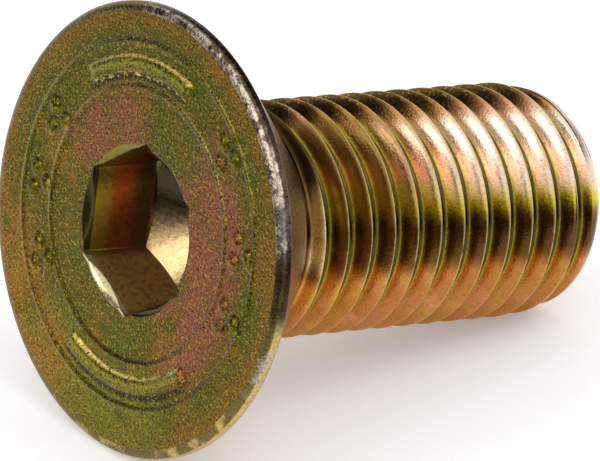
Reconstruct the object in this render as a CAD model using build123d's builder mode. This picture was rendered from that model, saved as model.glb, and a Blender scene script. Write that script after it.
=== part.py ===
from build123d import *

import os
from math import atan2, ceil, cos, degrees, radians, sin, sqrt, tan

# Countersunk screw with a hexagon socket, M16 x 35, in millimetres.
#
# It is modelled tip down: the head's flat face lies on the XY plane, its outward side is +Z, and the
# axis runs down -Z, so a depth is measured from the face towards the tip and an angle is read as on a
# dial seen from above the face, from +X towards +Y. At the end the finished screw is laid on its side,
# as it rests on a bench: the rim of the head and the last turns of the thread touch the ground, z = 0.

# Whole screw
overall_length = 35.0  # from the face to the tip, head included

# Head
head_diameter = 30.0
rim_land = 0.46  # cylindrical band round the rim
rim_edge_depth = 0.36  # worn edge between the face and the land
rim_edge_width = 0.53
cone_angle = 90.0

# Neck, between the cone and the first turn of the thread
neck_radius = 1.6
neck_sink = 0.25  # how far inside the thread's root the neck's curve ends

# Thread
thread_diameter = 15.84
thread_pitch = 2.0
thread_depth = 1.15
thread_angle = 60.0
crest_width = 0.3
crest_depth = 11.63  # where a crest crosses the shank's seam
seam_turn = -1.5  # how far the shank's seam is turned from the +X side
cutter_margin = 0.2  # how far the groove's cutter stands out of the shank

# Tip
lead_length = 3.7  # where the crests start to lean in
edge_length = 1.13  # the bevel at the very end
edge_drop = 0.6  # how far the crests have leaned in at the bevel
tip_diameter = 12.3

# Hexagon socket
socket_flats = 10.1
socket_depth = 5.25  # to the six corners of its floor
socket_point_angle = 120.0
socket_turn = 34.9  # the angle of one corner
mouth_diameter = 11.0
mouth_angle = 90.0

# Raised work on the face, struck a little off the screw's axis
strike_shift = (0.0, 0.32)
strike_root = 0.15  # how far each raised form reaches into the head
ring_radii = (9.1, 12.1)
ring_width = 0.6
ring_height = 0.1
bar_radius = 10.58
bar_width = 1.3
bar_height = 0.28
bars = ((75.0, 56.0), (245.0, 68.0))  # start angle and span of each curved bar
pip_angles = (11.0, 46.0, 158.0, 184.0, 211.0, 346.0)
pip_width = 1.1
pip_sides = 8
pip_height = 0.3
pip_taper = 30.0
pip_spacing = 0.85  # from the middle of a group of three to each pip

# Values that follow from those above
head_radius = head_diameter / 2
crest_radius = thread_diameter / 2
core_radius = crest_radius - thread_depth
half_cone = radians(cone_angle / 2)
land_depth = rim_edge_depth + rim_land


def cone_depth(radius: float) -> float:
    """Depth at which the countersunk cone has the given radius."""
    return land_depth + (head_radius - radius) / tan(half_cone)


def tip_limit(depth: float) -> float:
    """Largest radius that the tip leaves to the crests at a depth."""
    lead = overall_length - lead_length
    edge = overall_length - edge_length
    edge_radius = crest_radius - edge_drop
    if depth <= lead:
        return crest_radius
    if depth <= edge:
        return crest_radius - edge_drop * (depth - lead) / (edge - lead)
    return edge_radius - (edge_radius - tip_diameter / 2) * (depth - edge) / edge_length


# The head: a flat face, a worn edge, a narrow land, the cone, and a hollow curve into the shank
neck_end_radius = core_radius - neck_sink
neck_tangent = neck_radius * tan(half_cone / 2)
neck_end_depth = cone_depth(neck_end_radius) + neck_tangent
neck_start_radius = neck_end_radius + neck_tangent * sin(half_cone)
with BuildPart() as head:
    with BuildSketch(Plane.XZ):
        with BuildLine():
            face = Line((0, 0), (head_radius - rim_edge_width, 0))
            cone = Polyline(
                face @ 1,
                (head_radius, -rim_edge_depth),
                (head_radius, -land_depth),
                (neck_start_radius, -cone_depth(neck_start_radius)),
            )
            neck = TangentArc(cone @ 1, (neck_end_radius, -neck_end_depth), tangent=cone % 1)
            Polyline(neck @ 1, (0, -neck_end_depth), (0, 0))
        make_face()
    revolve(axis=Axis.Z)

# The groove's cutter, one turn after another from beyond the tip until it is inside the head.
# A groove lies half a pitch from the crests. Its four edges are helices, with straight faces between.
shank_top = cone_depth(crest_radius) - thread_pitch
groove_depth = crest_depth + thread_pitch / 2
turns_to_tip = ceil((overall_length - groove_depth) / thread_pitch) + 1
groove_start = groove_depth + turns_to_tip * thread_pitch
groove_turns = ceil((groove_start - shank_top) / thread_pitch) + 1
cutter_radius = crest_radius + cutter_margin
groove_sides = ((core_radius, -1), (cutter_radius, -1), (cutter_radius, 1), (core_radius, 1))


def groove_edge(turn: int, radius: float, side: int) -> Edge:
    """One turn of one edge of the groove's cutter: side is -1 for its lower edges, 1 for its upper."""
    flank_run = (crest_radius - radius) * tan(radians(thread_angle / 2))
    half_width = (thread_pitch - crest_width) / 2 - flank_run
    start = turn * thread_pitch - groove_start + side * half_width
    return Edge.make_helix(thread_pitch, thread_pitch, radius, center=(0, 0, start))


groove_faces = []
for turn in range(groove_turns):
    turn_edges = [groove_edge(turn, radius, side) for radius, side in groove_sides]
    for edge, next_edge in zip(turn_edges, turn_edges[1:] + turn_edges[:1]):
        groove_faces.append(Face.make_surface_from_curves(edge, next_edge))
for end_turn, end in ((0, 0), (groove_turns - 1, 1)):
    corners = [groove_edge(end_turn, radius, side) @ end for radius, side in groove_sides]
    groove_faces.append(Face(Wire.make_polygon(corners)))

# The shank, from inside the head to the tip
with BuildPart() as shank:
    with BuildSketch(Plane.XZ):
        with BuildLine():
            Polyline(
                (0, -shank_top),
                (crest_radius, -shank_top),
                (crest_radius, lead_length - overall_length),
                (crest_radius - edge_drop, edge_length - overall_length),
                (tip_diameter / 2, -overall_length),
                (0, -overall_length),
                close=True,
            )
        make_face()
    revolve(axis=Axis.Z)
    add(Solid(Shell(groove_faces)), mode=Mode.SUBTRACT)

# The socket: a hexagon whose floor is the cone of a drill point
socket_corner = socket_flats / sqrt(3)
point_height = socket_corner / tan(radians(socket_point_angle / 2))
with BuildPart() as socket:
    with BuildSketch():
        RegularPolygon(socket_flats / 2, 6, major_radius=False, rotation=socket_turn)
    extrude(amount=-(socket_depth + point_height))
    with BuildSketch(Plane.XZ):
        with BuildLine():
            Polyline(
                (0, 0),
                (socket_corner, 0),
                (socket_corner, -socket_depth),
                (0, -socket_depth - point_height),
                close=True,
            )
        make_face()
    revolve(axis=Axis.Z, mode=Mode.INTERSECT)

# The bevel round the mouth of the socket
with BuildPart() as mouth:
    with BuildSketch(Plane.XZ):
        with BuildLine():
            Polyline(
                (0, 0),
                (mouth_diameter / 2, 0),
                (0, -mouth_diameter / 2 / tan(radians(mouth_angle / 2))),
                close=True,
            )
        make_face()
    revolve(axis=Axis.Z)

# Raised rings, curved bars and groups of pips on the face
strike_plane = Plane((*strike_shift, 0))


def raised_ridge(radius: float, width: float, height: float, start: float, span: float) -> Part:
    """A low ridge with two slopes, curved round the strike's own centre from a start angle over a span."""
    along = (cos(radians(start)), sin(radians(start)), 0)
    across = (sin(radians(start)), -cos(radians(start)), 0)
    inner, outer = radius - width / 2, radius + width / 2
    with BuildPart() as raised:
        with BuildSketch(Plane(strike_plane.origin, x_dir=along, z_dir=across)):
            with BuildLine():
                Polyline(
                    (inner, -strike_root),
                    (inner, 0),
                    (radius, height),
                    (outer, 0),
                    (outer, -strike_root),
                    close=True,
                )
            make_face()
        revolve(axis=Axis(strike_plane.origin, strike_plane.z_dir), revolution_arc=span)
    return raised.part


with BuildPart() as strike:
    for ring_radius in ring_radii:
        add(raised_ridge(ring_radius, ring_width, ring_height, 0, 360))
    for start, span in bars:
        add(raised_ridge(bar_radius, bar_width, bar_height, start, span))
    with BuildSketch(strike_plane.offset(-strike_root)):
        for pip_angle in pip_angles:
            with PolarLocations(bar_radius, 1, start_angle=pip_angle):
                with PolarLocations(pip_spacing, 3):
                    RegularPolygon(pip_width / 2 + strike_root, pip_sides)
    extrude(amount=strike_root + pip_height, taper=pip_taper)

with BuildPart() as countersunk_screw:
    add(head.part)
    add(shank.part.rotate(Axis.Z, seam_turn))
    add(strike.part)
    add(mouth.part, mode=Mode.SUBTRACT)
    add(socket.part, mode=Mode.SUBTRACT)

# How it lies: the axis tips until the lowest crest meets the ground that the rim stands on.
low_crest = crest_depth + thread_pitch * (90 + seam_turn) / 360
low_turns = range(ceil((overall_length - low_crest) / thread_pitch))
low_crests = [low_crest + turn * thread_pitch for turn in low_turns]
rest_angle = min(atan2(head_radius - tip_limit(depth), depth - land_depth) for depth in low_crests)
rest_height = head_radius * cos(rest_angle) + land_depth * sin(rest_angle)
front_reach = (head_radius - rim_edge_width) * sin(rest_angle)
back_reach = overall_length * cos(rest_angle) + tip_diameter / 2 * sin(rest_angle)
rest_plane = Plane(
    (0, (front_reach - back_reach) / 2, rest_height),
    x_dir=(1, 0, 0),
    z_dir=(0, -cos(rest_angle), sin(rest_angle)),
)
countersunk_screw.part.locate(rest_plane.location)
countersunk_screw.part.label = "countersunk_screw"

os.makedirs("parts", exist_ok=True)
export_step(countersunk_screw.part, "parts/countersunk_screw.step")

print("rest angle", round(degrees(rest_angle), 2), "degrees")
print("volume", round(countersunk_screw.part.volume, 1), "mm3")
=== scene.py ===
"""A countersunk screw with a hexagon socket, plated and yellow passivated, lying on its side.

The screw is drawn in its own space: a depth runs from the head's face along the axis to the tip, a
radius is measured from the axis, and an angle is read as on a dial seen from in front of the face.
All sizes are in millimetres until the finished mesh is laid down in the frame, which is in metres.
"""

from __future__ import annotations

import logging
import math
from dataclasses import dataclass, field
from enum import Enum

import bpy
import numpy as np
from mathutils import Matrix, Vector

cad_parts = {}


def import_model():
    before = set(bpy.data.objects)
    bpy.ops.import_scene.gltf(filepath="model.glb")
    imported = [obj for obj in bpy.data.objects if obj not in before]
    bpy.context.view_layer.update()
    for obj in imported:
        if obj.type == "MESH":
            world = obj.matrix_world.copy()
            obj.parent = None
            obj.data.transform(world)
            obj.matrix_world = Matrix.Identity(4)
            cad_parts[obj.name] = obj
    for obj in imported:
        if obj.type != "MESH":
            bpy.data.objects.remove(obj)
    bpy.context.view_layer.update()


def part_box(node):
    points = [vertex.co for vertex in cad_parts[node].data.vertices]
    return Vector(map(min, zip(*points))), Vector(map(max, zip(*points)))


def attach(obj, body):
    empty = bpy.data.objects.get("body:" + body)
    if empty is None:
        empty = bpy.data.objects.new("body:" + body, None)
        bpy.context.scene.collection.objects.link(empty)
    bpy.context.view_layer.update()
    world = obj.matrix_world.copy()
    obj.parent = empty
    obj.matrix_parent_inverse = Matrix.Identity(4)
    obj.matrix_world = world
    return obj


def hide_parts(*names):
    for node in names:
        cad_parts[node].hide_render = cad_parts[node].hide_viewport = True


logging.basicConfig(level=logging.INFO, format="%(message)s")
log = logging.getLogger("screw")

MILLIMETRE = 0.001
NODE = "countersunk_screw"
STRIKE_SHIFT = 0.32
MERGE_STEP = 1e-4  # points that round to the same multiple of it are one point
SHARP = 1e-6  # a blend so narrow that a corner stays sharp
AIM = (0.0, 0.0, 0.012)  # middle of the screw's height, in metres, which the boards face


class Zone(Enum):
    """The parts of the screw's skin that are finished apart, in the order of the material slots."""

    FACE = 0
    RIM = 1
    CONE = 2
    SOCKET = 3
    THREAD = 4
    TIP = 5


def soft_max(a: np.ndarray, b: np.ndarray, width: float) -> np.ndarray:
    """The larger of two curves, with a hollow blend where they cross.

    Args:
        a: First curve.
        b: Second curve.
        width: Distance between the curves at which the blend starts.

    Returns:
        The blended curve.
    """
    near = np.clip(1 - np.abs(a - b) / width, 0, 1)
    return np.maximum(a, b) + near**2 * width / 4


def soft_min(a: np.ndarray, b: np.ndarray, width: float) -> np.ndarray:
    """The smaller of two curves, rounded where they cross; see soft_max."""
    return -soft_max(-a, -b, width)


def smooth_step(value: np.ndarray, low: float, high: float) -> np.ndarray:
    """Rises from 0 at low to 1 at high, flat at both ends."""
    share = np.clip((value - low) / (high - low), 0, 1)
    return share * share * (3 - 2 * share)


def angle_apart(angle: np.ndarray, centre: float) -> np.ndarray:
    """Signed angle in degrees from a centre angle, between -180 and 180."""
    return (angle - centre + 180) % 360 - 180


@dataclass(frozen=True)
class HeadForm:
    """The countersunk head: flat face, worn edge, narrow land and cone."""

    diameter: float = 30.0
    edge_width: float = 0.65
    edge_depth: float = 0.44
    land: float = 0.38
    cone_angle: float = 90.0

    @property
    def radius(self) -> float:
        """Radius of the rim."""
        return self.diameter / 2

    @property
    def land_depth(self) -> float:
        """Depth at which the cone starts."""
        return self.edge_depth + self.land

    def cone_radius(self, depth: np.ndarray) -> np.ndarray:
        """Radius of the cone at a depth."""
        return self.radius - (depth - self.land_depth) * math.tan(math.radians(self.cone_angle / 2))


@dataclass(frozen=True)
class ThreadForm:
    """A right-hand thread that runs up to the head, and the shank that carries it."""

    crest_radius: float = 7.92
    pitch: float = 2.0
    height: float = 1.15
    flank_angle: float = 30.0
    crest_width: float = 0.12
    crest_depth: float = 11.62
    neck_blend: float = 0.7
    crest_round: float = 0.04
    root_round: float = 0.12
    flank_swell: float = 0.03

    @property
    def core_radius(self) -> float:
        """Radius of the root between the crests."""
        return self.crest_radius - self.height

    def phase(self, depth: np.ndarray, angle: np.ndarray) -> np.ndarray:
        """Place across the thread: 0 on a crest, 0.5 or -0.5 in a root."""
        turns = (depth - self.crest_depth) / self.pitch + angle / 360
        return turns - np.round(turns)

    def radius(self, depth: np.ndarray, angle: np.ndarray) -> np.ndarray:
        """Radius of the thread with its rounded crests and roots, before the neck and the tip."""
        flank = self.height * math.tan(math.radians(self.flank_angle)) / self.pitch
        root_edge = self.crest_width / 2 / self.pitch + flank
        climb = (root_edge - np.abs(self.phase(depth, angle))) / flank
        climb = soft_max(climb, np.zeros_like(climb), self.root_round * 2)
        climb = soft_min(climb, np.ones_like(climb), self.crest_round * 2)
        swell = self.flank_swell * np.sin(math.pi * np.clip(climb, 0, 1))
        return self.core_radius + self.height * np.clip(climb, 0, 1) + swell


@dataclass(frozen=True)
class TipForm:
    """The end of the shank, where the crests lean in and a bevel closes the thread."""

    length: float = 35.0
    lead: float = 3.7
    edge: float = 1.13
    drop: float = 0.6
    end_radius: float = 6.15
    blend: float = 0.25

    def limit(self, depth: np.ndarray, crest_radius: float) -> np.ndarray:
        """Largest radius that the tip leaves at a depth."""
        lead_slope = self.drop / (self.lead - self.edge)
        edge_radius = crest_radius - self.drop
        edge_slope = (edge_radius - self.end_radius) / self.edge
        lead = crest_radius - lead_slope * (depth - self.length + self.lead)
        bevel = edge_radius - edge_slope * (depth - self.length + self.edge)
        return soft_min(lead, bevel, self.blend)


@dataclass(frozen=True)
class SocketForm:
    """The hexagon socket, its bevelled mouth and its drill point."""

    flats: float = 10.1
    depth: float = 5.25
    point_angle: float = 120.0
    corner_angle: float = 34.9
    mouth_radius: float = 5.5
    corner_round: float = 0.12
    mouth_round: float = 0.07
    lip: float = 2.2  # how many times the mouth's rounding the lip reaches out on the face
    floor_rings: tuple[float, ...] = (0.03, 0.1, 0.2, 0.32, 0.46, 0.6, 0.74, 0.86, 0.95, 1.0)
    wall_rings: tuple[float, ...] = (0.03, 0.12, 0.3, 0.5, 0.7, 0.88, 0.97, 1.0)

    @property
    def corner_radius(self) -> float:
        """Distance from the axis to a sharp corner."""
        return self.flats / math.sqrt(3)

    def wall_radius(self, angle: np.ndarray) -> np.ndarray:
        """Distance from the axis to the wall at an angle, with the corners a little round."""
        from_flat = np.radians((angle - self.corner_angle) % 60 - 30)
        wall = self.flats / 2 / np.cos(from_flat)
        return soft_min(wall, np.full_like(wall, self.corner_radius), self.corner_round)

    def floor_depth(self, radius: np.ndarray) -> np.ndarray:
        """Depth of the drill point's cone at a radius."""
        return self.depth + (self.corner_radius - radius) / math.tan(math.radians(self.point_angle / 2))


@dataclass(frozen=True)
class StrikeForm:
    """Raised work on the face: two thin rings, two curved bars and six groups of three pips."""

    shift: tuple[float, float] = (0.0, STRIKE_SHIFT)
    ring_radii: tuple[float, float] = (9.1, 12.1)
    ring_width: float = 0.6
    ring_height: float = 0.09
    bar_radius: float = 10.58
    bar_width: float = 1.3
    bar_height: float = 0.27
    bars: tuple[tuple[float, float], ...] = ((75.0, 56.0), (245.0, 68.0))
    pip_angles: tuple[float, ...] = (11.0, 46.0, 158.0, 184.0, 211.0, 346.0)
    pip_width: float = 1.1
    pip_height: float = 0.28
    pip_spacing: float = 0.85
    end_slope: float = 0.12
    band: tuple[float, float] = (8.7, 12.6)
    follow_from: float = 7.0

    def height(self, x: np.ndarray, y: np.ndarray) -> np.ndarray:
        """How far the face stands out at a place.

        Args:
            x: Distance across the face towards angle 0.
            y: Distance across the face towards angle 90.

        Returns:
            Height above the flat face.
        """
        across, up = x - self.shift[0], y - self.shift[1]
        radius = np.hypot(across, up)
        angle = np.degrees(np.arctan2(up, across)) % 360
        raised = np.zeros_like(radius)
        for ring_radius in self.ring_radii:
            share = np.clip(np.abs(radius - ring_radius) / (self.ring_width / 2), 0, 1)
            raised = np.maximum(raised, self.ring_height * np.cos(share * math.pi / 2) ** 2)
        for start, span in self.bars:
            raised = np.maximum(raised, self._bar(radius, angle, start + span / 2, span / 2))
        for pip_angle in self.pip_angles:
            raised = np.maximum(raised, self._pips(across, up, math.radians(pip_angle)))
        return raised

    def _bar(self, radius: np.ndarray, angle: np.ndarray, middle: float, half: float) -> np.ndarray:
        """Height of one curved bar, rounded across and square at its ends."""
        share = np.clip(np.abs(radius - self.bar_radius) / (self.bar_width / 2), 0, 1)
        past_end = np.radians(np.abs(angle_apart(angle, middle)) - half) * self.bar_radius
        ends = 1 - smooth_step(past_end, -self.end_slope, self.end_slope)
        return self.bar_height * (1 - share**4) * ends

    def _pips(self, across: np.ndarray, up: np.ndarray, angle: float) -> np.ndarray:
        """Height of one group of three pips."""
        middle = np.array([math.cos(angle), math.sin(angle)]) * self.bar_radius
        raised = np.zeros_like(across)
        for number in range(3):
            turn = math.radians(120 * number)
            x = across - middle[0] - self.pip_spacing * math.cos(turn)
            y = up - middle[1] - self.pip_spacing * math.sin(turn)
            share = np.clip(np.hypot(x, y) / (self.pip_width / 2), 0, 1)
            raised = np.maximum(raised, self.pip_height * (1 - share**3))
        return raised


class Skin:
    """Collects rings of points and the faces between them, then makes one clean mesh."""

    def __init__(self) -> None:
        """Starts an empty skin."""
        self.points: list[np.ndarray] = []
        self.count = 0
        self.faces: list[tuple[tuple[int, ...], Zone]] = []

    def add(self, points: np.ndarray) -> np.ndarray:
        """Adds points and returns their numbers.

        Args:
            points: One row of x, y and z for each point.

        Returns:
            The points' numbers, in the same order.
        """
        self.points.append(points.reshape(-1, 3))
        numbers = np.arange(self.count, self.count + len(self.points[-1]))
        self.count += len(numbers)
        return numbers

    def ring(self, radius: np.ndarray, angle: np.ndarray, depth: np.ndarray) -> np.ndarray:
        """Adds one closed ring of points from its radii, angles in degrees and depths."""
        turn = np.radians(angle)
        depth = np.broadcast_to(depth, turn.shape)
        return self.add(np.stack([radius * np.cos(turn), radius * np.sin(turn), -depth], axis=1))

    def quad(self, corners: tuple[int, ...], zone: Zone) -> None:
        """Adds one face."""
        self.faces.append((corners, zone))

    def bridge(self, inner: np.ndarray, outer: np.ndarray, zone: Zone) -> None:
        """Joins two rings, whose points are in the ratio of a whole number to one.

        Args:
            inner: Point numbers of the first ring.
            outer: Point numbers of the second ring, as many or fewer.
            zone: How the faces are finished.
        """
        ratio = len(inner) // len(outer)
        for step, corner in enumerate(outer):
            following = outer[(step + 1) % len(outer)]
            fine = [inner[(step * ratio + part) % len(inner)] for part in range(ratio + 1)]
            middle = ratio // 2
            for part in range(ratio):
                if part == middle:
                    self.quad((fine[part], fine[part + 1], following, corner), zone)
                else:
                    self.quad((fine[part], fine[part + 1], corner if part < middle else following), zone)

    def close(self, ring: np.ndarray, depth: float, zone: Zone) -> None:
        """Closes a ring with a fan of faces to a point on the axis."""
        centre = self.add(np.array([0.0, 0.0, -depth]))[0]
        for step, point in enumerate(ring):
            self.quad((point, ring[(step + 1) % len(ring)], centre), zone)

    def mesh(self, name: str, space: Matrix) -> bpy.types.Mesh:
        """Makes the mesh in the frame's space, with points that coincide merged.

        Args:
            name: Name of the mesh.
            space: From the screw's space in millimetres to the frame's in metres.

        Returns:
            The new mesh, with one material number for each zone.
        """
        points = np.concatenate(self.points)
        keys = np.round(points / MERGE_STEP).astype(np.int64)
        _, first, merged = np.unique(keys, axis=0, return_index=True, return_inverse=True)
        merged = merged.reshape(-1)
        kept = points[first]
        corners: list[tuple[int, ...]] = []
        zones: list[int] = []
        for face, zone in self.faces:
            loop = [int(merged[corner]) for corner in face]
            loop = [corner for step, corner in enumerate(loop) if corner != loop[step - 1]]
            if len(loop) > 2 and len(set(loop)) == len(loop):
                corners.append(tuple(loop))
                zones.append(zone.value)
        turned = np.array(space.to_3x3()) @ kept.T
        placed = turned.T + np.array(space.translation)
        mesh = bpy.data.meshes.new(name)
        mesh.from_pydata(placed.tolist(), [], corners)
        mesh.polygons.foreach_set("material_index", zones)
        mesh.polygons.foreach_set("use_smooth", [True] * len(zones))
        mesh.validate()
        mesh.update()
        return mesh


@dataclass
class PlatedScrew:
    """The whole screw: one closed mesh in place of the solid, with a finish for each zone."""

    head: HeadForm = field(default_factory=HeadForm)
    thread: ThreadForm = field(default_factory=ThreadForm)
    tip: TipForm = field(default_factory=TipForm)
    socket: SocketForm = field(default_factory=SocketForm)
    strike: StrikeForm = field(default_factory=StrikeForm)
    head_columns: int = 360
    shank_columns: int = 120
    rows_per_pitch: int = 20
    shank_top: float = 6.9
    cone_gap: float = 0.3  # how far the cone's rings stay from its two ends
    cone_start: float = 0.04  # how far the land and the cone stay from the edge between them
    tip_join: float = 0.08
    tip_rings: tuple[float, ...] = (6.0, 4.0, 2.0, 0.6)
    sharp_angle: float = 50.0

    @property
    def head_angles(self) -> np.ndarray:
        """Angles of the head's columns. One column stands in each corner of the socket."""
        return self.socket.corner_angle + np.arange(self.head_columns) * 360 / self.head_columns

    @property
    def shank_angles(self) -> np.ndarray:
        """Angles of the shank's columns."""
        return self.socket.corner_angle + np.arange(self.shank_columns) * 360 / self.shank_columns

    def rest_angle(self) -> float:
        """How far the axis leans down to the tip when the rim and the lowest crest touch the ground."""
        low = self.thread.crest_depth + self.thread.pitch / 4
        turns = math.ceil((self.tip.length - low) / self.thread.pitch)
        depths = low + np.arange(turns) * self.thread.pitch
        crests = np.minimum(self._tip_corners(depths), self.thread.crest_radius)
        return float(np.min(np.arctan2(self.head.radius - crests, depths - self.head.land_depth)))

    def _tip_corners(self, depth: np.ndarray) -> np.ndarray:
        """The tip's limit with sharp corners, on which the solid rests."""
        return TipForm(blend=SHARP).limit(depth, self.thread.crest_radius)

    def space(self) -> Matrix:
        """From the screw's own space in millimetres to the frame's in metres."""
        lean = self.rest_angle()
        out = Vector((0, -math.cos(lean), math.sin(lean)))
        low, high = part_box(NODE)
        tip_reach = self.tip.length * math.cos(lean) + self.tip.end_radius * math.sin(lean)
        centre_y = high.y / MILLIMETRE - tip_reach
        centre_z = self.head.radius * math.cos(lean) + self.head.land_depth * math.sin(lean)
        centre = Vector((0, centre_y, centre_z + low.z / MILLIMETRE))
        side = Vector((1, 0, 0))
        matrix = Matrix((side, out.cross(side), out)).transposed().to_4x4()
        matrix.translation = centre
        return Matrix.Scale(MILLIMETRE, 4) @ matrix

    def build(self, finishes: dict[Zone, bpy.types.Material]) -> bpy.types.Object:
        """Builds the mesh, dresses it and puts it in place of the solid.

        Args:
            finishes: The material of each zone.

        Returns:
            The finished piece.
        """
        skin = Skin()
        rows = self._socket(skin)
        rows = self._face(skin, rows)
        rows = self._rim(skin, rows)
        self._shank(skin, rows)
        mesh = skin.mesh("plated_screw", self.space())
        for zone in Zone:
            mesh.materials.append(finishes[zone])
        mesh.set_sharp_from_angle(angle=math.radians(self.sharp_angle))
        piece = bpy.data.objects.new("plated_screw", mesh)
        bpy.context.scene.collection.objects.link(piece)
        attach(piece, "root")
        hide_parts(NODE)
        log.info("plated_screw: %d points, %d faces", len(mesh.vertices), len(mesh.polygons))
        return piece

    def _socket(self, skin: Skin) -> np.ndarray:
        """Builds the drill point, the six walls and the mouth, and returns the mouth's outer ring."""
        angle = self.head_angles
        wall = self.socket.wall_radius(angle)
        rings = []
        for share in self.socket.floor_rings:
            rings.append(skin.ring(wall * share, angle, self.socket.floor_depth(wall * share)))
        for inner, outer in zip(rings, rings[1:]):
            skin.bridge(inner, outer, Zone.SOCKET)
        skin.close(rings[0], float(self.socket.floor_depth(0.0)), Zone.SOCKET)
        bottom = self.socket.floor_depth(wall)
        bevel = np.maximum(self.socket.mouth_radius - wall, 0)
        mouth = np.maximum(self.socket.mouth_radius, wall)
        rounding = self.socket.mouth_round
        last = rings[-1]
        for share in self.socket.wall_rings:
            wall_top = bevel + rounding
            depth = bottom + (wall_top - bottom) * share
            last = self._next(skin, last, skin.ring(wall, angle, depth), Zone.SOCKET)
        steps = (
            (wall + rounding * 0.3 * (bevel == 0), bevel + rounding * 0.3),
            (mouth - bevel * 0.5 + rounding * 0.4 * (bevel == 0), bevel * 0.5 + rounding * 0.1),
            (mouth + rounding, np.full_like(wall, rounding * 0.15)),
            (mouth + rounding * self.socket.lip, np.zeros_like(wall)),
        )
        for radius, depth in steps:
            last = self._next(skin, last, skin.ring(radius, angle, depth), Zone.SOCKET)
        return last

    def _next(self, skin: Skin, last: np.ndarray, ring: np.ndarray, zone: Zone) -> np.ndarray:
        """Joins a ring to the one before it and returns it."""
        skin.bridge(last, ring, zone)
        return ring

    def _face(self, skin: Skin, last: np.ndarray) -> np.ndarray:
        """Builds the flat face with its raised work, in rings that follow the strike's own centre."""
        angle = self.head_angles
        turn = np.radians(angle)
        mouth = np.maximum(self.socket.mouth_radius, self.socket.wall_radius(angle))
        mouth = mouth + self.socket.mouth_round * self.socket.lip
        start, end = self.strike.band
        flat = self.head.radius - self.head.edge_width
        inner = [mouth + (start - mouth) * share for share in np.linspace(0, 1, 15)[1:]]
        middle = [np.full_like(mouth, radius) for radius in np.linspace(start, end, 57)[1:]]
        outer = [np.full_like(mouth, radius) for radius in np.linspace(end, flat, 11)[1:]]
        for radius in inner + middle + outer:
            follow = smooth_step(radius, self.strike.follow_from, start)
            follow = follow * (1 - smooth_step(radius, end, flat))
            x = radius * np.cos(turn) + self.strike.shift[0] * follow
            y = radius * np.sin(turn) + self.strike.shift[1] * follow
            height = self.strike.height(x, y)
            ring = skin.add(np.stack([x, y, height], axis=1))
            last = self._next(skin, last, ring, Zone.FACE)
        return last

    def _rim(self, skin: Skin, last: np.ndarray) -> np.ndarray:
        """Builds the worn edge, the land and the start of the cone, and returns the last ring."""
        angle = self.head_angles
        head = self.head
        for share in np.linspace(0, 1, 9)[1:]:
            bend = share * math.pi / 2
            radius = np.full_like(angle, head.radius - head.edge_width * (1 - math.sin(bend)))
            depth = head.edge_depth * (1 - math.cos(bend))
            last = self._next(skin, last, skin.ring(radius, angle, depth), Zone.RIM)
        for depth in (head.edge_depth + head.land * 0.5, head.land_depth - self.cone_start):
            ring = skin.ring(np.full_like(angle, head.radius), angle, depth)
            last = self._next(skin, last, ring, Zone.RIM)
        slope = np.linspace(head.land_depth + self.cone_gap, self.shank_top - self.cone_gap, 9)
        for depth in (head.land_depth + self.cone_start, *slope):
            ring = skin.ring(np.full_like(angle, float(head.cone_radius(depth))), angle, depth)
            last = self._next(skin, last, ring, Zone.CONE)
        return last

    def _shank_radius(self, depth: np.ndarray, angle: np.ndarray) -> np.ndarray:
        """Radius of the shank: the thread, the hollow neck below the cone, and the tip's limit."""
        thread = self.thread.radius(depth, angle)
        radius = soft_max(thread, self.head.cone_radius(depth), self.thread.neck_blend)
        return soft_min(radius, self.tip.limit(depth, self.thread.crest_radius), self.tip_join)

    def _shank(self, skin: Skin, last: np.ndarray) -> None:
        """Builds the neck, the thread and the tip as one winding grid whose rows follow the thread."""
        angle = self.shank_angles
        top = np.full_like(angle, self.shank_top)
        upper = skin.ring(self._shank_radius(top, angle), angle, top)
        skin.bridge(last, upper, Zone.CONE)
        pitch, count = self.thread.pitch, self.rows_per_pitch
        turned = angle - angle[0]
        rows = math.ceil((self.tip.length + pitch - self.shank_top) / pitch) * count + count
        grid = []
        for row in range(rows + 1):
            depth = self.shank_top + row * pitch / count - pitch * turned / 360
            depth = np.clip(depth, self.shank_top, self.tip.length)
            grid.append(skin.ring(self._shank_radius(depth, angle), angle, depth))
        seam = len(angle) - 1
        for row in range(rows):
            here, below = grid[row], grid[row + 1]
            for column in range(seam):
                skin.quad((here[column], here[column + 1], below[column + 1], below[column]), Zone.THREAD)
            across = grid[max(row - count, 0)][0]
            across_below = grid[max(row + 1 - count, 0)][0]
            skin.quad((here[seam], across, across_below, below[seam]), Zone.THREAD)
        depth = np.full_like(angle, self.tip.length)
        end = skin.ring(np.full_like(angle, self.tip.end_radius), angle, depth)
        for radius in self.tip_rings:
            ring = skin.ring(np.full_like(angle, radius), angle, depth)
            end = self._next(skin, end, ring, Zone.TIP)
        skin.close(end, self.tip.length, Zone.TIP)


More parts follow.
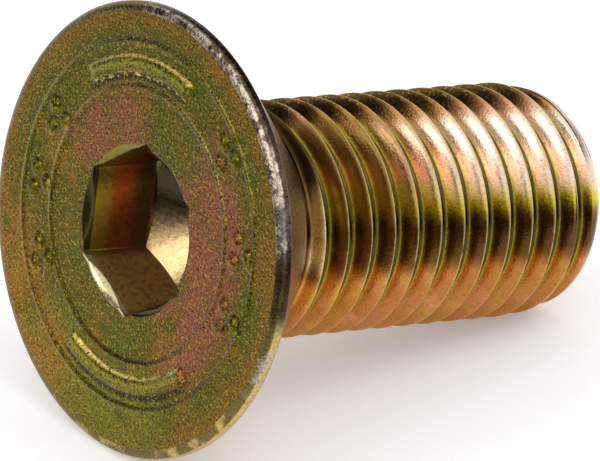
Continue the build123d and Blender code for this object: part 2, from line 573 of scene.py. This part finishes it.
class Nodes:
    """A short way to write shader nodes."""

    def __init__(self, material: bpy.types.Material) -> None:
        """Starts from a material's empty node tree."""
        material.use_nodes = True
        self.tree = material.node_tree
        self.tree.nodes.clear()

    def make(self, kind: str, **settings: object) -> bpy.types.Node:
        """Adds a node and sets its properties."""
        node = self.tree.nodes.new(kind)
        for name, value in settings.items():
            setattr(node, name, value)
        return node

    def put(self, socket: bpy.types.NodeSocket, value: object) -> None:
        """Feeds a socket from another socket, or sets it to a plain value."""
        if isinstance(value, bpy.types.NodeSocket):
            self.tree.links.new(value, socket)
        elif isinstance(value, tuple) and len(value) == 3 and socket.type == "RGBA":
            socket.default_value = (*value, 1.0)
        else:
            socket.default_value = value

    def math(self, operation: str, *values: object) -> bpy.types.NodeSocket:
        """A Math node's result."""
        node = self.make("ShaderNodeMath", operation=operation)
        for socket, value in zip(node.inputs, values):
            self.put(socket, value)
        return node.outputs[0]

    def mix(self, share: object, a: object, b: object, blend: str = "MIX") -> bpy.types.NodeSocket:
        """A mix of two colours."""
        node = self.make("ShaderNodeMix", data_type="RGBA", blend_type=blend)
        self.put(node.inputs["Factor"], share)
        self.put(node.inputs[6], a)
        self.put(node.inputs[7], b)
        return node.outputs[2]

    def vector(self, operation: str, a: object, b: object) -> bpy.types.NodeSocket:
        """A Vector Math node's result."""
        node = self.make("ShaderNodeVectorMath", operation=operation)
        self.put(node.inputs[0], a)
        self.put(node.inputs[1], b)
        return node.outputs[0]

    def span(
        self, value: object, low: float, high: float, a: float = 0.0, b: float = 1.0
    ) -> bpy.types.NodeSocket:
        """A smooth step from a to b while a value goes from low to high, or down to high."""
        if low > high:
            low, high, a, b = high, low, b, a
        node = self.make("ShaderNodeMapRange", interpolation_type="SMOOTHSTEP")
        given = {"Value": value, "From Min": low, "From Max": high, "To Min": a, "To Max": b}
        for name, number in given.items():
            self.put(node.inputs[name], number)
        return node.outputs[0]

    def noise(
        self, vector: object, scale: float, detail: float = 3.0, rough: float = 0.55
    ) -> bpy.types.NodeSocket:
        """A cloud's value, about 0.5, at a scale in clouds per millimetre."""
        node = self.make("ShaderNodeTexNoise")
        self.put(node.inputs["Vector"], vector)
        self.put(node.inputs["Scale"], scale)
        self.put(node.inputs["Detail"], detail)
        self.put(node.inputs["Roughness"], rough)
        return node.outputs[0]


@dataclass
class ScrewPlace:
    """Where a shaded point lies on the screw, as shader sockets in the screw's own space."""

    nodes: Nodes
    space: Matrix

    def __post_init__(self) -> None:
        """Makes the nodes that give the place."""
        location, rotation, _ = self.space.decompose()
        place = self.nodes.make("ShaderNodeMapping", vector_type="TEXTURE")
        place.inputs["Location"].default_value = location
        place.inputs["Rotation"].default_value = rotation.to_euler()
        place.inputs["Scale"].default_value = (MILLIMETRE,) * 3
        coordinates = self.nodes.make("ShaderNodeTexCoord")
        self.nodes.put(place.inputs["Vector"], coordinates.outputs["Object"])
        self.point = place.outputs[0]
        parts = self.nodes.make("ShaderNodeSeparateXYZ")
        self.nodes.put(parts.inputs[0], self.point)
        self.x, self.y, self.z = parts.outputs
        across = self.nodes.math("MULTIPLY", self.x, self.x)
        squares = self.nodes.math("ADD", across, self.nodes.math("MULTIPLY", self.y, self.y))
        self.radius = self.nodes.math("SQRT", squares)
        self.depth = self.nodes.math("MULTIPLY", self.z, -1.0)
        up = self.nodes.math("SUBTRACT", self.y, STRIKE_SHIFT)
        squares = self.nodes.math("ADD", across, self.nodes.math("MULTIPLY", up, up))
        self.strike_radius = self.nodes.math("SQRT", squares)

    def towards(self, angle: float, inner: float, outer: float) -> bpy.types.NodeSocket:
        """A mask round an angle: 1 within the inner angle from it, and 0 beyond the outer one."""
        turn = math.radians(angle)
        along = self.nodes.math(
            "ADD",
            self.nodes.math("MULTIPLY", self.x, math.cos(turn)),
            self.nodes.math("MULTIPLY", self.y, math.sin(turn)),
        )
        cosine = self.nodes.math("DIVIDE", along, self.radius)
        return self.nodes.span(cosine, math.cos(math.radians(outer)), math.cos(math.radians(inner)))


@dataclass(frozen=True)
class Tint:
    """One colour that lies over a finish where its clouds and its place allow it.

    An angle is the middle of the part of the turn that the tint covers, and a radius or depth in
    millimetres is given as where the tint starts to show and where it is full. A ring is a radius about
    the strike's own centre and the distance from it at which the tint has faded out.
    """

    colour: tuple[float, float, float]
    share: float = 1.0
    cloud: float = 0.3
    clouds: tuple[float, float] = (0.0, 0.01)  # the noise values between which the tint sets in
    angle: float = 0.0
    reach: tuple[float, float] = (180.0, 180.0)
    radius: tuple[float, float] | None = None
    depth: tuple[float, float] | None = None
    ring: tuple[float, float] | None = None

    def over(self, nodes: Nodes, place: ScrewPlace, colour: object, seed: int) -> bpy.types.NodeSocket:
        """Lays the tint over a colour.

        Args:
            nodes: The material's nodes.
            place: Where the shaded point lies.
            colour: The colour below.
            seed: Number that moves this tint's clouds away from those of the others.

        Returns:
            The new colour.
        """
        offset = (seed * 7.3, seed * 3.1, seed * 5.7)
        moved = nodes.vector("ADD", place.point, offset)
        mask = nodes.span(nodes.noise(moved, self.cloud, 4.0, 0.6), *self.clouds)
        mask = nodes.math("MULTIPLY", mask, self.share)
        if self.reach[0] < 180:
            mask = nodes.math("MULTIPLY", mask, place.towards(self.angle, *self.reach))
        if self.radius:
            mask = nodes.math("MULTIPLY", mask, nodes.span(place.radius, *self.radius))
        if self.depth:
            mask = nodes.math("MULTIPLY", mask, nodes.span(place.depth, *self.depth))
        if self.ring:
            away = nodes.math("ABSOLUTE", nodes.math("SUBTRACT", place.strike_radius, self.ring[0]))
            mask = nodes.math("MULTIPLY", mask, nodes.span(away, self.ring[1], self.ring[1] * 0.3))
        return nodes.mix(mask, colour, self.colour)


SPECK_SPAN = (0.5, 0.36)  # the grain's values from where specks start to where they are full
GLINT_SPAN = (0.56, 0.68)
GLINT_SHIFT = (3.3, 9.1, 6.6)  # moves the glints' grain away from the specks'


@dataclass(frozen=True)
class Plating:
    """Yellow passivated plating: a ground colour under clouded tints, with fine grain and sparkle painted
    as glints.

    The grain's scale is in grains per millimetre, and its height in millimetres.
    """

    name: str
    ground: tuple[float, float, float]
    tints: tuple[Tint, ...]
    roughness: tuple[float, float]
    grain_scale: float
    grain_height: float
    speck: tuple[float, float, float] = (0.03, 0.02, 0.01)
    speck_share: float = 0.5
    sparkle: float = 0.0
    glint: tuple[float, float, float] = (0.95, 0.8, 0.45)
    metallic: float = 1.0

    def material(self, space: Matrix) -> bpy.types.Material:
        """Makes the material.

        Args:
            space: From the screw's own space in millimetres to the frame's in metres.

        Returns:
            The finished material.
        """
        material = bpy.data.materials.new(self.name)
        nodes = Nodes(material)
        place = ScrewPlace(nodes, space)
        grain = nodes.noise(place.point, self.grain_scale, 3.0, 0.65)
        colour: object = self.ground
        for seed, tint in enumerate(self.tints):
            colour = tint.over(nodes, place, colour, seed + 1)
        colour = nodes.mix(nodes.span(grain, *SPECK_SPAN, 0.0, self.speck_share), colour, self.speck)
        # Painted glints: bright specks of the glint colour mixed into the base colour.
        if self.sparkle:
            moved = nodes.vector("ADD", place.point, GLINT_SHIFT)
            glint = nodes.noise(moved, self.grain_scale * 1.3, 1.0, 0.5)
            colour = nodes.mix(nodes.span(glint, *GLINT_SPAN, 0.0, self.sparkle), colour, self.glint)
        shader = nodes.make("ShaderNodeBsdfPrincipled")
        shader.inputs["Metallic"].default_value = self.metallic
        nodes.put(shader.inputs["Base Color"], colour)
        nodes.put(shader.inputs["Roughness"], nodes.span(grain, 0.3, 0.7, *self.roughness))
        bump = nodes.make("ShaderNodeBump")
        bump.inputs["Strength"].default_value = 1.0
        bump.inputs["Distance"].default_value = self.grain_height * MILLIMETRE
        nodes.put(bump.inputs["Height"], grain)
        nodes.put(shader.inputs["Normal"], bump.outputs[0])
        output = nodes.make("ShaderNodeOutputMaterial")
        nodes.put(output.inputs["Surface"], shader.outputs[0])
        return material


OLIVE = (0.115, 0.096, 0.008)
MOSS = (0.088, 0.106, 0.008)
OCHRE = (0.29, 0.125, 0.012)
ROSE = (0.30, 0.088, 0.046)
SALMON = (0.72, 0.34, 0.18)
LEAF = (0.42, 0.42, 0.07)
# Painted shade on the tops of the cone and of the thread by the neck.
PAINTED_TOP_SHADE = (0.045, 0.028, 0.008)
# Painted highlight on the thin rings' lit side, and painted shade at the rings' inner feet.
PAINTED_RING_HIGHLIGHT = (0.50, 0.38, 0.11)
PAINTED_RING_SHADE = (0.03, 0.025, 0.008)
# Painted highlight for the raised bars' lit edges, and painted shade for their shaded feet.
LIT_EDGE = (0.95, 0.72, 0.24)
SHADED_EDGE = (0.02, 0.015, 0.005)

# The ridges' angles on the face: the side of the rings that is lit, and each bar's middle.
LIT_SIDE = 105.0
UPPER_BAR = 103.0
LOWER_BAR = 279.0

EVERYWHERE = (0.0, 0.01)  # clouds that leave no gap
PATCHY = (0.3, 0.5)


def face_finish() -> Plating:
    """The head's face: dull olive with moss green, ochre at its margin and rose patches, and painted
    highlights and painted shade along its rings and bars.
    """
    return Plating(
        name="matte_olive_plate",
        ground=OLIVE,
        tints=(
            Tint(MOSS, 0.9, 0.22, (0.42, 0.58)),
            Tint(OCHRE, 0.6, 0.3, (0.5, 0.66)),
            Tint(OCHRE, 0.8, 0.35, (0.3, 0.55), radius=(12.4, 14.6)),
            Tint(ROSE, 0.85, 0.4, (0.36, 0.56), 129.0, (18.0, 40.0), radius=(10.5, 8.5)),
            Tint(ROSE, 0.95, 0.35, (0.3, 0.52), 360.0, (35.0, 65.0), radius=(12.2, 9.5)),
            Tint((0.18, 0.19, 0.014), 0.75, 0.3, PATCHY, 262.0, (20.0, 45.0), radius=(8.5, 10.0)),
            Tint((0.36, 0.15, 0.018), 0.75, 0.3, PATCHY, 222.0, (16.0, 36.0), radius=(9.5, 12.0)),
            # Painted highlights on the lit side of the two rings, and painted shade at their inner feet.
            Tint(PAINTED_RING_HIGHLIGHT, 0.5, 0.8, PATCHY, LIT_SIDE, (80.0, 110.0), ring=(9.28, 0.2)),
            Tint(PAINTED_RING_SHADE, 0.3, 0.8, PATCHY, ring=(8.9, 0.3)),
            Tint(PAINTED_RING_HIGHLIGHT, 0.35, 0.8, PATCHY, LIT_SIDE, (80.0, 110.0), ring=(12.28, 0.2)),
            Tint(PAINTED_RING_SHADE, 0.22, 0.8, PATCHY, ring=(11.9, 0.3)),
            Tint((0.34, 0.34, 0.035), 0.75, 0.5, (0.2, 0.4), UPPER_BAR, (27.0, 29.0), ring=(10.8, 0.5)),
            # Painted highlights along the bars' lit edges, and painted shade at the feet below them.
            Tint((0.75, 0.52, 0.12), 0.9, 0.9, PATCHY, UPPER_BAR, (26.0, 30.0), ring=(11.18, 0.17)),
            Tint(SHADED_EDGE, 0.92, 0.5, EVERYWHERE, UPPER_BAR, (27.0, 30.0), ring=(9.86, 0.34)),
            Tint(LIT_EDGE, 0.8, 2.2, (0.5, 0.6), UPPER_BAR, (25.0, 29.0), ring=(9.98, 0.22)),
            Tint(LIT_EDGE, 0.95, 0.9, (0.35, 0.5), LOWER_BAR, (33.0, 35.0), ring=(10.0, 0.2)),
            Tint((0.32, 0.30, 0.035), 0.7, 0.5, (0.2, 0.4), LOWER_BAR, (33.0, 35.0), ring=(10.35, 0.4)),
            Tint(SHADED_EDGE, 0.9, 0.5, EVERYWHERE, LOWER_BAR, (33.0, 36.0), ring=(11.26, 0.34)),
        ),
        roughness=(0.18, 0.36),
        grain_scale=5.4,
        grain_height=0.045,
        speck_share=0.95,
        # Painted glints over the face's grain.
        sparkle=0.5,
        glint=(0.60, 0.44, 0.06),
    )


def rim_finish() -> Plating:
    """The head's worn rim: bare bright metal with scratches, darker in clouds and over set stretches of
    the turn.
    """
    return Plating(
        name="worn_bright_rim",
        ground=(0.60, 0.50, 0.38),
        tints=(
            Tint((0.08, 0.055, 0.035), 0.9, 1.3, (0.48, 0.57)),
            Tint((0.07, 0.045, 0.03), 0.95, 1.1, (0.25, 0.5), 77.0, (32.0, 42.0), depth=(0.14, 0.26)),
            Tint((0.09, 0.055, 0.035), 0.92, 1.1, (0.2, 0.45), 40.0, (30.0, 40.0), depth=(0.36, 0.5)),
            Tint((0.18, 0.165, 0.165), 0.85, 1.2, (0.4, 0.56), 20.0, (5.0, 9.0)),
            Tint((0.045, 0.03, 0.015), 0.96, 0.8, (0.1, 0.3), 5.0, (7.0, 12.0)),
            Tint((0.62, 0.44, 0.13), 0.92, 0.6, (0.2, 0.45), 308.0, (44.0, 52.0)),
            Tint((0.10, 0.08, 0.02), 0.85, 0.6, PATCHY, 300.0, (60.0, 75.0), depth=(0.3, 0.2)),
            Tint((0.46, 0.41, 0.34), 0.7, 1.0, (0.45, 0.6), 343.0, (5.0, 10.0)),
            Tint((0.2, 0.13, 0.04), 0.9, 0.5, (0.2, 0.4), 180.0, (72.0, 86.0)),
        ),
        roughness=(0.16, 0.34),
        grain_scale=5.0,
        grain_height=0.05,
        speck_share=0.5,
    )


def cone_finish() -> Plating:
    """The countersunk cone: smooth brown gold under clouds, with brown painted shade on its side towards
    angle 30 and painted shade on top.
    """
    return Plating(
        name="satin_gold_cone",
        ground=(0.36, 0.18, 0.06),
        tints=(
            Tint(SALMON, 0.7, 0.25, (0.42, 0.62)),
            Tint(LEAF, 0.5, 0.3, (0.5, 0.66)),
            # Painted shade on the cone's side towards angle 30.
            Tint((0.13, 0.045, 0.012), 0.9, 0.4, (0.15, 0.35), 30.0, (30.0, 50.0)),
            # Painted shade on the cone's top.
            Tint(PAINTED_TOP_SHADE, 0.95, 0.4, (0.05, 0.3), 85.0, (40.0, 58.0)),
        ),
        roughness=(0.2, 0.34),
        grain_scale=4.0,
        grain_height=0.02,
        speck_share=0.3,
    )


def socket_finish() -> Plating:
    """The socket: smooth and deep in colour, olive to orange brown, and paler on its drill point, with
    painted highlights on its lower left wall and mouth and painted shadow on one side of its drill point.
    """
    return Plating(
        name="deep_socket_plate",
        ground=(0.16, 0.09, 0.035),
        tints=(
            Tint((0.12, 0.10, 0.02), 0.8, 0.3, EVERYWHERE, depth=(5.3, 4.6)),
            Tint((0.34, 0.085, 0.02), 0.95, 0.5, EVERYWHERE, depth=(4.5, 3.3)),
            Tint((0.26, 0.21, 0.03), 0.95, 0.3, EVERYWHERE, depth=(2.4, 1.4)),
            # Painted highlight on the lower left wall.
            Tint((0.70, 0.42, 0.12), 0.95, 0.5, (0.1, 0.3), 244.9, (22.0, 31.0)),
            Tint((0.62, 0.42, 0.20), 0.95, 0.3, EVERYWHERE, depth=(5.15, 5.5)),
            # Painted shadow on the drill point's upper left side.
            Tint((0.04, 0.032, 0.008), 0.97, 0.5, EVERYWHERE, 140.0, (38.0, 58.0), depth=(5.15, 5.5)),
            # Darker round the top of the mouth, olive on its upper left side and a painted highlight on
            # its lower left side.
            Tint((0.05, 0.04, 0.015), 0.95, 0.3, EVERYWHERE, depth=(0.6, 0.46)),
            Tint((0.22, 0.19, 0.025), 0.95, 0.3, EVERYWHERE, 124.9, (26.0, 31.0), depth=(0.6, 0.46)),
            Tint((0.80, 0.66, 0.36), 0.95, 0.3, EVERYWHERE, 244.9, (26.0, 31.0), depth=(0.6, 0.46)),
        ),
        roughness=(0.16, 0.26),
        grain_scale=3.0,
        grain_height=0.015,
        speck_share=0.35,
        metallic=0.75,
    )


def thread_finish() -> Plating:
    """The rolled thread: salmon and gold flanks, leaf green low down, pale crests, and painted shade in
    the root, on top and in a band, with painted highlights.
    """
    return Plating(
        name="bright_rose_gold_thread",
        ground=(0.66, 0.32, 0.085),
        tints=(
            Tint((0.86, 0.36, 0.20), 0.85, 0.35, (0.42, 0.6)),
            Tint((0.60, 0.42, 0.04), 0.7, 0.4, (0.5, 0.66)),
            Tint((0.55, 0.22, 0.045), 0.7, 0.3, (0.25, 0.5), 310.0, (30.0, 60.0)),
            Tint((0.70, 0.56, 0.03), 0.9, 0.5, (0.15, 0.4), 26.0, (6.0, 14.0)),
            # Painted highlight: pale cream where the flanks catch the light, stronger towards the tip.
            Tint((0.97, 0.76, 0.62), 0.9, 0.3, (0.2, 0.45), 50.0, (16.0, 30.0), depth=(12.0, 26.0)),
            # Painted reflection: a dark band where the flanks mirror the head's cone.
            Tint((0.06, 0.03, 0.008), 0.88, 0.4, (0.15, 0.45), 3.0, (5.0, 18.0)),
            # Painted shade that dims the highlight towards the head.
            Tint((0.20, 0.115, 0.022), 0.8, 0.4, (0.1, 0.35), 42.0, (28.0, 42.0), depth=(21.0, 14.0)),
            # Painted shade on the thread's top, in brown and dark patches.
            Tint((0.40, 0.22, 0.06), 0.8, 0.6, (0.2, 0.4), 121.0, (26.0, 46.0)),
            Tint((0.08, 0.045, 0.01), 0.93, 3.8, PATCHY, 122.0, (28.0, 46.0)),
            Tint((0.44, 0.37, 0.03), 0.8, 0.3, EVERYWHERE, radius=(7.12, 6.92), depth=(34.1, 33.8)),
            # Painted shade in the root.
            Tint((0.04, 0.025, 0.01), 0.9, 0.3, EVERYWHERE, radius=(6.92, 6.82), depth=(34.1, 33.8)),
            Tint((0.62, 0.50, 0.20), 0.6, 1.2, PATCHY, radius=(7.86, 7.9)),
            # Painted highlight on the first crest by the neck, and painted shade in the hollow between it
            # and the cone.
            Tint((0.95, 0.76, 0.36), 0.9, 0.9, (0.2, 0.5), 18.0, (16.0, 28.0), depth=(9.8, 9.6)),
            Tint((0.17, 0.06, 0.016), 0.92, 0.5, (0.1, 0.4), 20.0, (30.0, 46.0), depth=(9.15, 8.95)),
            # Painted shade on the thread's top by the neck.
            Tint(PAINTED_TOP_SHADE, 0.95, 0.5, (0.05, 0.3), 85.0, (40.0, 58.0), depth=(10.4, 9.2)),
        ),
        roughness=(0.14, 0.24),
        grain_scale=6.0,
        grain_height=0.012,
        speck_share=0.25,
    )


def tip_finish() -> Plating:
    """The flat end of the shank: plain brown gold with faint clouds."""
    return Plating(
        name="brown_gold_tip",
        ground=(0.42, 0.25, 0.08),
        tints=(
            Tint(SALMON, 0.5, 0.25, (0.42, 0.62)),
            Tint(LEAF, 0.4, 0.3, (0.5, 0.66)),
        ),
        roughness=(0.2, 0.34),
        grain_scale=4.0,
        grain_height=0.02,
        speck_share=0.4,
    )


def finishes(space: Matrix) -> dict[Zone, bpy.types.Material]:
    """Makes every zone's finish.

    Args:
        space: From the screw's own space in millimetres to the frame's in metres.

    Returns:
        The material of each zone.
    """
    return {
        Zone.FACE: face_finish().material(space),
        Zone.RIM: rim_finish().material(space),
        Zone.CONE: cone_finish().material(space),
        Zone.SOCKET: socket_finish().material(space),
        Zone.THREAD: thread_finish().material(space),
        Zone.TIP: tip_finish().material(space),
    }


def flat_sheet(name: str, half_width: float, half_height: float) -> bpy.types.Mesh:
    """A flat rectangle about its own middle, with its sizes in metres.

    Args:
        name: Name of the mesh.
        half_width: Half the size along X.
        half_height: Half the size along Y.

    Returns:
        The new mesh.
    """
    x, y = half_width, half_height
    mesh = bpy.data.meshes.new(name)
    mesh.from_pydata([(-x, -y, 0), (x, -y, 0), (x, y, 0), (-x, y, 0)], [], [(0, 1, 2, 3)])
    return mesh


@dataclass(frozen=True)
class Card:
    """A flat board of the studio, seen only in reflections. It stands so that it faces the screw."""

    name: str
    azimuth: float
    elevation: float
    distance: float
    width: float
    height: float
    shade: float

    @property
    def place(self) -> Vector:
        """Middle of the board, in metres."""
        turn, rise = math.radians(self.azimuth), math.radians(self.elevation)
        x, y = math.cos(turn) * math.cos(rise), math.sin(turn) * math.cos(rise)
        return Vector((x, y, math.sin(rise))) * self.distance * MILLIMETRE + Vector(AIM)

    def build(self) -> None:
        """Builds the board and hides it from the camera and from the light that falls on the floor."""
        mesh = flat_sheet(self.name, self.width / 2 * MILLIMETRE, self.height / 2 * MILLIMETRE)
        material = bpy.data.materials.new(self.name)
        nodes = Nodes(material)
        glow = nodes.make("ShaderNodeEmission")
        glow.inputs["Color"].default_value = (1, 1, 1, 1)
        glow.inputs["Strength"].default_value = self.shade
        output = nodes.make("ShaderNodeOutputMaterial")
        nodes.put(output.inputs["Surface"], glow.outputs[0])
        mesh.materials.append(material)
        board = bpy.data.objects.new(self.name, mesh)
        board.location = self.place
        board.rotation_euler = (Vector(AIM) - self.place).to_track_quat("Z", "Y").to_euler()
        board.visible_camera = False
        board.visible_diffuse = False
        board.visible_shadow = False
        bpy.context.scene.collection.objects.link(board)


@dataclass(frozen=True)
class Studio:
    """Pale floor, white surroundings, soft lamps, boards for the reflections and the camera."""

    floor_size: float = 4.0
    floor_colour: float = 0.8
    floor_seen: float = 0.97
    floor_lift: float = 0.22
    world_strength: float = 0.8
    lens: float = 463.6
    sensor: float = 36.0
    eye: tuple[float, float, float] = (360.5, -282.9, 242.2)
    forward: tuple[float, float, float] = (-0.7040, 0.5475, -0.4523)
    cards: tuple[Card, ...] = (
        Card("front_board", -78.0, 3.0, 80.0, 90.0, 33.0, 0.02),
        Card("left_board", -138.0, 10.0, 300.0, 250.0, 190.0, 0.02),
        Card("top_board", -138.0, 34.0, 300.0, 170.0, 100.0, 0.02),
        Card("soft_board", -103.0, 36.0, 260.0, 110.0, 60.0, 3.2),
        Card("right_board", 25.0, 3.0, 70.0, 78.0, 31.0, 0.03),
        Card("back_board", 110.0, 42.0, 300.0, 420.0, 330.0, 0.04),
    )

    def build(self) -> None:
        """Builds the floor, the world, the lamps, the boards and the camera."""
        self._floor()
        self._world()
        self._lamp("key_lamp", (-90.0, -520.0, 380.0), 260.0, 0.5)
        self._lamp("fill_lamp", (300.0, 100.0, 500.0), 300.0, 0.6)
        for card in self.cards:
            card.build()
        self._camera()

    def _floor(self) -> None:
        """A plain pale floor that keeps the object's shadow, nearly white where the camera sees it."""
        mesh = flat_sheet("floor", self.floor_size / 2, self.floor_size / 2)
        material = bpy.data.materials.new("pale_floor")
        nodes = Nodes(material)
        path = nodes.make("ShaderNodeLightPath")
        pale, white = (self.floor_colour,) * 3, (self.floor_seen,) * 3
        seen = nodes.math("MAXIMUM", path.outputs["Is Camera Ray"], path.outputs["Is Glossy Ray"])
        seen = nodes.math("MAXIMUM", seen, path.outputs["Is Transmission Ray"])
        shader = nodes.make("ShaderNodeBsdfPrincipled")
        nodes.put(shader.inputs["Base Color"], nodes.mix(seen, pale, white))
        shader.inputs["Roughness"].default_value = 0.9
        shader.inputs["Specular IOR Level"].default_value = 0.0
        shader.inputs["Emission Color"].default_value = (1, 1, 1, 1)
        lift = nodes.math("MULTIPLY", seen, self.floor_lift)
        nodes.put(shader.inputs["Emission Strength"], lift)
        output = nodes.make("ShaderNodeOutputMaterial")
        nodes.put(output.inputs["Surface"], shader.outputs[0])
        mesh.materials.append(material)
        floor = bpy.data.objects.new("floor", mesh)
        bpy.context.scene.collection.objects.link(floor)

    def _world(self) -> None:
        """A white world for the camera and for reflections, and a plain level of light for the rest."""
        world = bpy.data.worlds.new("studio")
        bpy.context.scene.world = world
        world.use_nodes = True
        tree = world.node_tree
        tree.nodes.clear()
        path = tree.nodes.new("ShaderNodeLightPath")
        seen = tree.nodes.new("ShaderNodeMath")
        seen.operation = "MAXIMUM"
        tree.links.new(path.outputs["Is Camera Ray"], seen.inputs[0])
        tree.links.new(path.outputs["Is Glossy Ray"], seen.inputs[1])
        through = tree.nodes.new("ShaderNodeMath")
        through.operation = "MAXIMUM"
        tree.links.new(seen.outputs[0], through.inputs[0])
        tree.links.new(path.outputs["Is Transmission Ray"], through.inputs[1])
        plain = tree.nodes.new("ShaderNodeBackground")
        plain.inputs["Color"].default_value = (1, 1, 1, 1)
        plain.inputs["Strength"].default_value = self.world_strength
        white = tree.nodes.new("ShaderNodeBackground")
        white.inputs["Color"].default_value = (1, 1, 1, 1)
        white.inputs["Strength"].default_value = 1.0
        mix = tree.nodes.new("ShaderNodeMixShader")
        tree.links.new(through.outputs[0], mix.inputs[0])
        tree.links.new(plain.outputs[0], mix.inputs[1])
        tree.links.new(white.outputs[0], mix.inputs[2])
        output = tree.nodes.new("ShaderNodeOutputWorld")
        tree.links.new(mix.outputs[0], output.inputs["Surface"])

    def _lamp(self, name: str, place: tuple[float, float, float], size: float, power: float) -> None:
        """A soft square lamp that looks at the screw."""
        data = bpy.data.lights.new(name, "AREA")
        data.size = size * MILLIMETRE
        data.energy = power
        lamp = bpy.data.objects.new(name, data)
        lamp.location = Vector(place) * MILLIMETRE
        lamp.rotation_euler = (-Vector(place)).to_track_quat("-Z", "Y").to_euler()
        bpy.context.scene.collection.objects.link(lamp)

    def _camera(self) -> None:
        """A long lens, level with the ground, that looks down on the head and along the shank."""
        data = bpy.data.cameras.new("camera")
        data.lens = self.lens
        data.sensor_width = self.sensor
        data.clip_start = 0.01
        data.clip_end = 20.0
        camera = bpy.data.objects.new("camera", data)
        camera.location = Vector(self.eye) * MILLIMETRE
        camera.rotation_euler = Vector(self.forward).to_track_quat("-Z", "Y").to_euler()
        bpy.context.scene.collection.objects.link(camera)
        bpy.context.scene.camera = camera


def main() -> None:
    """Builds the screw and its studio."""
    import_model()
    scene = bpy.context.scene
    scene.view_settings.view_transform = "Standard"
    screw = PlatedScrew()
    screw.build(finishes(screw.space()))
    Studio().build()
    bpy.context.view_layer.update()
    log.info("studio and camera are in place")


if __name__ == "__main__":
    main()
